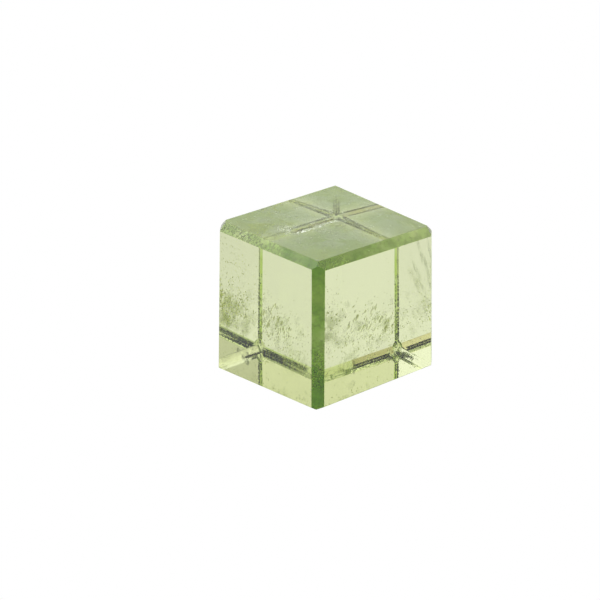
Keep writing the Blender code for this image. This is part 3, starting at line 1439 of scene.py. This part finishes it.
# Dark grains on the rear bevels, along the upper left bevel and beside the scar.
DIRT = (
    Swarm((-2.6, 5.1, 0.2), (2.6, 0.0, 0.22), 20, 0.012, 0.030, 1.5, way=BASE_RIGHTWARD),
    Swarm((-5.0, 3.2, 0.2), (0.0, 1.8, 0.20), 8, 0.012, 0.030, 1.5, way=BASE_LEFTWARD),
    Swarm((-5.1, 5.1, 2.4), (0.1, 0.1, 3.4), 60, 0.015, 0.035, 2.0, way=REARWARD),
    Swarm((-5.1, 5.1, 0.9), (0.1, 0.1, 0.6), 26, 0.025, 0.045, 1.6, way=REARWARD),
    Swarm((-3.4, -5.0, 9.8), (2.6, 0.25, 0.25), 40, 0.015, 0.032, 1.2, way=FORWARD_UP),
    Swarm((0.0, 0.0, 9.9), (5.0, 5.0, 0.0), 26, 0.014, 0.028, 1.2, way=SKYWARD),
    Swarm((-0.05, -1.9, 9.9), (0.06, 0.8, 0.0), 26, 0.022, 0.040, 4.0, SCAR_LEAN, 0.15, SKYWARD),
    Swarm((-0.18, -0.2, 9.9), (0.06, 1.0, 0.0), 26, 0.018, 0.035, 4.0, SCAR_LEAN, 0.15, SKYWARD),
)
# Broad green veils, and pale wisps by the right corner.
VEILS = (
    Sheet((-4.7, -2.2, 3.5), (0.0, 3.2, 0.0), (0.2, 0.0, 1.5), 0.1, 0.3, 1.0, 0.8),
    Sheet((1.0, -1.0, 1.8), (2.5, -2.0, 0.3), (0.3, 0.3, 1.2), 0.2, 0.3, 0.4),
    Sheet((2.2, 4.5, 5.6), (1.9, 0.2, -1.5), (0.4, 0.0, 0.9), 0.1, 0.2, 0.25),
)
WISPS = (
    Sheet((2.4, 4.6, 7.6), (1.5, 0.1, -1.4), (0.25, 0.0, 0.30), 0.1, 0.1),
    Sheet((1.4, 4.6, 6.3), (1.6, 0.1, -1.3), (0.20, 0.0, 0.25), 0.1, 0.1),
)
# Grooves just above the two rear base bevels and inside the rear upright one. Those of a row
# are turned edge-on to one front side, so that they darken the view through the other.
DARK_GROOVES = Grooves(
    (-4.97, 5.03, 0.10), (-0.70, 5.10, 0.11), (-0.934, 0.356, 0.0), 0.090, 0.145, 44, 0.60, 5
).sheets()
BROWN_GROOVES = Grooves(
    (-4.915, 1.52, 0.070), (-5.002, 4.65, 0.070), (-0.430, 0.903, 0.0), 0.090, 0.095, 34, 1.0, 6
).sheets() + Grooves(
    (-5.215, 5.259, 1.0), (-5.113, 5.150, 4.6), (-0.430, 0.903, 0.0), 0.060, 0.090, 16, 0.50, 9
).sheets()
# A dark film on the outside of the right rear base bevel: painted shadow, standing in for the dark
# contact shade under the stone's rear edge that is seen through the bevel.
REAR_EDGE_SHADOW_FILM = (
    Sheet((-2.85, 5.150, 0.168), (2.40, -0.101, 0.0), (0.0, 0.099, 0.160), 0.0, 0.0, 1.0, 0.25, True),
)
# A small crack just above the left rear base bevel.
CRACKS = (
    Sheet((-4.84, 1.50, 0.26), (0.20, 0.02, 0.14), (0.12, 0.03, -0.18), 0.03, 0.02, 1.0, 0.3),
)
TOP_HAZE = (Sheet((0.0, 0.0, 9.97), (7.0, 0.0, 0.0), (0.0, 7.0, 0.0), 0.0, 0.0),)

# How far a film stays from the skin: in the dark grooves hardly at all, and the painted shadow film on
# the outside of the stone may pass it.
GROOVE_MARGIN = 0.002 * MM
OUTSIDE_MARGIN = -1.0 * MM
HAZE_MARGIN = 0.001 * MM
CLOUD_MARGIN = 0.3 * MM


@dataclass(frozen=True)
class FrostFinish:
    """The whitish skin of tiny cracks that grinding leaves just under a bevel."""

    name: str = "ground_frost"
    pale: Colour = (0.90, 0.95, 0.78)
    green: Colour = (0.56, 0.80, 0.06)
    roughness: float = 0.7
    grit_per_metre: float = 5500.0
    grit_range: tuple[float, float] = (0.05, 0.75)
    gap_cover: float = 0.05
    grain_cover: float = 1.8
    patch_per_metre: float = 1300.0
    patch_range: tuple[float, float] = (0.3, 0.7)
    patch_cover: tuple[float, float] = (0.75, 1.25)

    def material(self) -> bpy.types.Material:
        """Return the skin's material.

        Returns:
            A pale matt material, let through between its grains.
        """
        material, bench, shader = start_material(self.name)
        shader.inputs["Roughness"].default_value = self.roughness
        place = bench.place()
        grit = Grit.mask(bench, place, self.grit_per_metre, *self.grit_range)
        patches = Mottle.mask(bench, place, self.patch_per_metre, *self.patch_range)
        colour = bench.blend(bench.mark("pale"), self.green, self.pale)
        bench.feed(shader.inputs["Base Color"], colour)
        grain = bench.mark("grain")
        crests = bench.span(grain, 0.0, 1.0, 1.0, self.grain_cover)
        gaps = bench.span(grain, 0.0, 1.0, 1.0, self.gap_cover)
        grains = bench.span(grit, 0.0, 1.0, crests, gaps)
        clouds = bench.span(patches, 0.0, 1.0, *self.patch_cover)
        cover = bench.math("MULTIPLY", bench.mark("cover"), bench.math("MULTIPLY", grains, clouds))
        cover.node.use_clamp = True
        bench.feed(shader.inputs["Alpha"], cover)
        return material


@dataclass(frozen=True)
class Frost(Blended):
    """How much of a skin is frosted, how white it is and how grainy, each from 0 to 1."""

    cover: float
    pale: float
    grain: float


@dataclass(frozen=True)
class FrostStrip:
    """The frost of one bevel's skin, at some shares of its length from its low end."""

    bevel: Bevel
    stops: tuple[tuple[float, Frost], ...]

    def frost_at(self, along: float) -> Frost:
        """Work out the frost at one place along the bevel.

        Args:
            along: The share of the bevel's length, from 0 to 1.

        Returns:
            The frost there.
        """
        for (start, frost), (end, next_frost) in zip(self.stops, self.stops[1:]):
            if along < end:
                return frost.towards(next_frost, max(0.0, (along - start) / (end - start)))
        return self.stops[-1][1]


FROST_STRIPS = (
    FrostStrip(Bevel.TOP_FRONT_LEFT, (
        (0.0, Frost(0.90, 0.90, 0.70)), (0.50, Frost(0.88, 0.85, 0.60)), (0.70, Frost(0.50, 0.45, 0.15)),
        (1.0, Frost(0.46, 0.35, 0.10)),
    )),
    FrostStrip(Bevel.TOP_FRONT_RIGHT, (
        (0.0, Frost(0.30, 0.20, 0.05)), (0.5, Frost(0.60, 0.55, 0.12)), (1.0, Frost(0.96, 0.95, 0.15)),
    )),
    FrostStrip(Bevel.NEAR, (
        (0.0, Frost(0.60, 0.05, 0.20)), (0.08, Frost(0.70, 0.05, 0.20)), (0.11, Frost(0.95, 0.35, 0.05)),
        (0.14, Frost(0.22, 0.0, 0.40)), (0.22, Frost(0.28, 0.0, 0.60)), (0.34, Frost(0.70, 0.20, 0.60)),
        (0.50, Frost(1.0, 0.90, 0.35)), (0.66, Frost(0.85, 0.35, 0.20)), (1.0, Frost(0.60, 0.05, 0.10)),
    )),
    FrostStrip(Bevel.TOP_BACK_LEFT, ((0.0, Frost(0.35, 0.5, 0.3)),)),
    FrostStrip(Bevel.TOP_BACK_RIGHT, ((0.0, Frost(0.35, 0.5, 0.3)),)),
)


@dataclass
class BevelFrost:
    """The frosted skin under the ground bevels, as thin plates sealed in the stone."""

    finish: FrostFinish
    rim: float = 0.002 * MM
    depth: float = 0.03 * MM
    thickness: float = 0.004 * MM
    steps: int = 32
    merge_gap: float = 0.00001 * MM

    def build(self, sharp: bmesh.types.BMesh, stone: Stone) -> bpy.types.Object:
        """Build the skin.

        Args:
            sharp: The stone with sharp arrises.
            stone: The stone that it lies in.

        Returns:
            The skin's object.
        """
        skin = sharp.copy()
        kept = {}
        for face in skin.faces:
            grinding = stone.grinding_of(face.normal)
            bevel = grinding.bevel if grinding else None
            strip = next((item for item in FROST_STRIPS if item.bevel is bevel), None)
            if strip and bevel.direction().dot(face.normal) > BEVEL_MATCH:
                kept[face] = strip
        unwanted = [face for face in skin.faces if face not in kept]
        bmesh.ops.delete(skin, geom=unwanted, context="FACES")
        plates = list(skin.faces)
        bmesh.ops.split_edges(skin, edges=skin.edges[:])
        rims = bmesh.ops.inset_individual(
            skin, faces=plates, thickness=self.rim, use_even_offset=True
        )["faces"]
        bmesh.ops.delete(skin, geom=rims, context="FACES")
        for plate in kept:
            inward = -plate.normal.copy()
            bmesh.ops.translate(skin, vec=inward * self.depth, verts=plate.verts[:])
        self.divide(skin, kept)
        bmesh.ops.solidify(skin, geom=skin.faces[:], thickness=self.thickness)
        return piece_from(skin, "bevel_frost", self.finish.material())

    def divide(
        self, skin: bmesh.types.BMesh, kept: dict[bmesh.types.BMFace, FrostStrip]
    ) -> None:
        """Divide the plates along their length and mark how each is frosted.

        Args:
            skin: The plates.
            kept: The strip of each plate's face.
        """
        layers = [skin.loops.layers.float.new(item.name) for item in fields(Frost)]
        for plate, strip in kept.items():
            axis = strip.bevel.axis()
            low, high = extent(plate.verts, axis)
            across = axis_way(axis)
            pieces = [plate]
            for step in range(1, self.steps):
                edges = once_each(edge for face in pieces for edge in face.edges)
                verts = once_each(vert for face in pieces for vert in face.verts)
                cut = bmesh.ops.bisect_plane(
                    skin, geom=[*verts, *edges, *pieces], dist=self.merge_gap,
                    plane_co=across * (low + (high - low) * step / self.steps), plane_no=across,
                )
                pieces = [item for item in cut["geom"] if isinstance(item, bmesh.types.BMFace)]
            for face in pieces:
                for loop in face.loops:
                    frost = strip.frost_at((loop.vert.co[axis] - low) / (high - low))
                    for layer, value in zip(layers, astuple(frost)):
                        loop[layer] = value


@dataclass
class Studio:
    """A plain pale floor that glows with painted light and a painted shadow under the stone, under soft
    white light from all round.
    """

    camera_azimuth: float = 49.68
    floor_half_width: float = 0.4
    floor_gap: float = 0.02 * MM
    floor_middle: float = 0.84
    floor_lean: float = 0.18
    shade_start: float = 3.4 * MM
    shade_end: float = 6.6 * MM
    shade_colour: Colour = (0.36, 0.46, 0.30)
    surround: float = 1.0
    surround_lean: float = 0.28
    overhead: float = 0.85
    overhead_start: float = 0.40
    overhead_end: float = 0.60
    softbox: float = 1.5
    softbox_start: float = 0.30
    softbox_end: float = 0.60
    back_light_start: float = -0.6
    back_light_end: float = -0.3
    wall_colour: Colour = (0.91, 0.92, 0.71)
    wall_behind: tuple[float, float] = (0.2, 0.9)
    wall_right: tuple[float, float] = (0.4, 0.9)
    wall_top: float = 0.25

    def forward(self) -> Vector:
        """Return the level direction that the camera looks in."""
        turn = math.radians(self.camera_azimuth)
        return Vector((-math.sin(turn), math.cos(turn), 0.0))

    def build(self) -> None:
        """Build the floor and the light."""
        self.build_floor()
        self.build_light()

    def build_floor(self) -> None:
        """Lay the floor just below the stone, shaded where the stone stands."""
        shape = bmesh.new()
        bmesh.ops.create_grid(shape, x_segments=1, y_segments=1, size=self.floor_half_width)
        bmesh.ops.translate(shape, vec=(0.0, 0.0, -self.floor_gap), verts=shape.verts[:])
        floor = piece_from(shape, "studio_floor", self.floor_material())

    def floor_material(self) -> bpy.types.Material:
        """Return the lit floor's material.

        Returns:
            A plain white to the camera, and to the stone a glow of painted light, brighter beyond the
            stone, with a painted green-tinted shadow where the stone stands.
        """
        material, bench, shader = start_material("pale_floor")
        material.node_tree.nodes.remove(shader)
        place = bench.place()
        axes = bench.add("SeparateXYZ")
        bench.feed(axes.inputs[0], place)
        reaches = (bench.math("ABSOLUTE", axes.outputs[axis]) for axis in ("X", "Y"))
        reach = bench.math("MAXIMUM", *reaches)
        outward = bench.add("VectorMath", operation="NORMALIZE")
        bench.feed(outward.inputs[0], place)
        # The floor glows in place of being lit: painted light, brighter beyond the stone.
        lit = bench.lean(outward.outputs[0], self.forward() * self.floor_lean, self.floor_middle)
        # Painted green-tinted shadow where the stone stands, seen by the stone's light paths but not by
        # the camera.
        open_floor = bench.span(reach, self.shade_start, self.shade_end)
        colour = bench.blend(open_floor, self.shade_colour, bench.grey(lit))
        seen = bench.add("LightPath").outputs["Is Camera Ray"]
        glow = bench.add("Emission")
        bench.feed(glow.inputs["Color"], bench.blend(seen, colour, WHITE))
        output = material.node_tree.nodes["Material Output"]
        bench.feed(output.inputs["Surface"], glow.outputs[0])
        return material

    def build_light(self) -> None:
        """Light the stone from all round, softly, and less from overhead."""
        world = bpy.data.worlds.new("studio_light")
        bpy.context.scene.world = world
        world.use_nodes = True
        tree = world.node_tree
        tree.nodes.clear()
        bench = NodeBench(tree)
        way = bench.add("TexCoord").outputs["Generated"]
        axes = bench.add("SeparateXYZ")
        bench.feed(axes.inputs[0], way)
        level = axes.outputs["Z"]
        right = self.forward().cross(UP)
        surround = bench.lean(way, right * -self.surround_lean, self.surround)
        behind = bench.lean(way, self.forward(), 0.0)
        rightward = bench.lean(way, right, 0.0)
        walls = bench.math(
            "MAXIMUM", bench.span(behind, *self.wall_behind), bench.span(rightward, *self.wall_right)
        )
        wall = bench.math("MULTIPLY", walls, bench.span(level, 0.0, self.wall_top))
        sideways = bench.math("ABSOLUTE", rightward)
        softboxes = bench.span(sideways, self.softbox_start, self.softbox_end)
        back_light = bench.span(behind, self.back_light_start, self.back_light_end, 1.0, 0.0)
        opening = bench.math("MAXIMUM", softboxes, back_light)
        high = bench.span(opening, 0.0, 1.0, self.overhead, self.softbox)
        upper = bench.span(level, self.overhead_start, self.overhead_end, 1.0, high)
        soft = bench.add("Background")
        bench.feed(soft.inputs["Color"], bench.blend(wall, WHITE, self.wall_colour))
        bench.feed(soft.inputs["Strength"], bench.math("MULTIPLY", surround, upper))
        backdrop = bench.add("Background")
        bench.feed(backdrop.inputs["Color"], WHITE)
        choose = bench.add("MixShader")
        bench.feed(choose.inputs[0], bench.add("LightPath").outputs["Is Camera Ray"])
        bench.feed(choose.inputs[1], soft.outputs[0])
        bench.feed(choose.inputs[2], backdrop.outputs[0])
        bench.feed(bench.add("OutputWorld").inputs[0], choose.outputs[0])


@dataclass
class Camera:
    """The camera, a little above the near upright bevel, in a square picture."""

    azimuth: float = 49.68
    elevation: float = 21.43
    distance: float = 0.300
    sensor: float = 36.0
    picture_width_px: float = 600.0
    px_per_metre: float = 15846.0
    middle_of_stone: Triple = (0.038 * MM, -0.147 * MM, 5.0 * MM)
    middle_px: tuple[float, float] = (325.4, 296.5)
    nearest: float = 0.01
    farthest: float = 10.0

    def build(self) -> None:
        """Place the camera and make it the scene's own."""
        turn, rise = math.radians(self.azimuth), math.radians(self.elevation)
        level = math.cos(rise)
        back = Vector((math.sin(turn) * level, -math.cos(turn) * level, math.sin(rise)))
        right = UP.cross(back).normalized()
        up = back.cross(right)
        centre_px = (self.picture_width_px - 1.0) / 2.0
        sideways = (self.middle_px[0] - centre_px) / self.px_per_metre
        downwards = (self.middle_px[1] - centre_px) / self.px_per_metre
        aim = Vector(self.middle_of_stone) - right * sideways + up * downwards
        data = bpy.data.cameras.new("camera")
        data.sensor_width = self.sensor
        data.lens = self.px_per_metre * self.distance * self.sensor / self.picture_width_px
        data.clip_start = self.nearest
        data.clip_end = self.farthest
        camera = bpy.data.objects.new("camera", data)
        camera.location = aim + back * self.distance
        camera.rotation_euler = back.to_track_quat("Z", "Y").to_euler()
        bpy.context.scene.collection.objects.link(camera)
        bpy.context.scene.camera = camera


def set_light_paths() -> None:
    """Let light pass through the stone as often as it needs, and keep colours plain."""
    scene = bpy.context.scene
    scene.view_settings.view_transform = "Standard"
    scene.cycles.max_bounces = LIGHT_BOUNCES
    scene.cycles.glossy_bounces = LIGHT_BOUNCES
    scene.cycles.transmission_bounces = LIGHT_BOUNCES
    scene.cycles.transparent_max_bounces = LIGHT_BOUNCES


def main() -> None:
    """Build the stone, what is sealed in it, the studio and the camera."""
    logging.basicConfig(level=logging.INFO)
    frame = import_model()
    set_light_paths()
    maker = Stone(PeridotFinish())
    stone = maker.build(frame["nodes"][NODE])
    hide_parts(NODE)
    sealed = [BevelFrost(FrostFinish()).build(maker.sharp, maker)]
    sealed += [
        Grains("needles", OLIVE_NEEDLE, NEEDLES, 11, roundness=2, shells=3).build(maker),
        Grains("clouds", OLIVE_CLOUD, CLOUDS, 16, 2, 0.6, shells=2, margin=CLOUD_MARGIN).build(maker),
        Grains("dust", OLIVE_GRAIN, DUST, 12).build(maker),
        Grains("pale_flecks", PALE_FLECK, FLECKS, 13, unevenness=0.6).build(maker),
        Grains("top_scar", PALE_FLECK, SCAR, 15, unevenness=0.6).build(maker),
        Crumbs(CRUSHED_STONE).build(maker),
        Grains("dirt", DARK_GRAIN, DIRT, 14, unevenness=0.6).build(maker),
        Films("veils", GREEN_VEIL, VEILS).build(maker),
        Films("wisps", PALE_VEIL, WISPS).build(maker),
        Films("dark_film", DARK_FILM, DARK_GROOVES, 12, margin=GROOVE_MARGIN).build(maker),
        Films("brown_film", BROWN_FILM, BROWN_GROOVES, 12, margin=GROOVE_MARGIN).build(maker),
        # A dark film outside the rear base bevel, as painted shadow.
        Films("rear_edge_shadow_film", DARK_FILM, REAR_EDGE_SHADOW_FILM, 24, margin=OUTSIDE_MARGIN).build(maker),
        Films("corner_crack", CRACK_FILM, CRACKS).build(maker),
        Films("polish_haze", POLISH_HAZE, TOP_HAZE, 40, margin=HAZE_MARGIN).build(maker),
    ]
    for piece in (stone, *sealed):
        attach(piece, BODY)
        LOG.info("%s: %d faces", piece.name, len(piece.data.polygons))
    Studio().build()
    Camera().build()


if __name__ == "__main__":
    main()
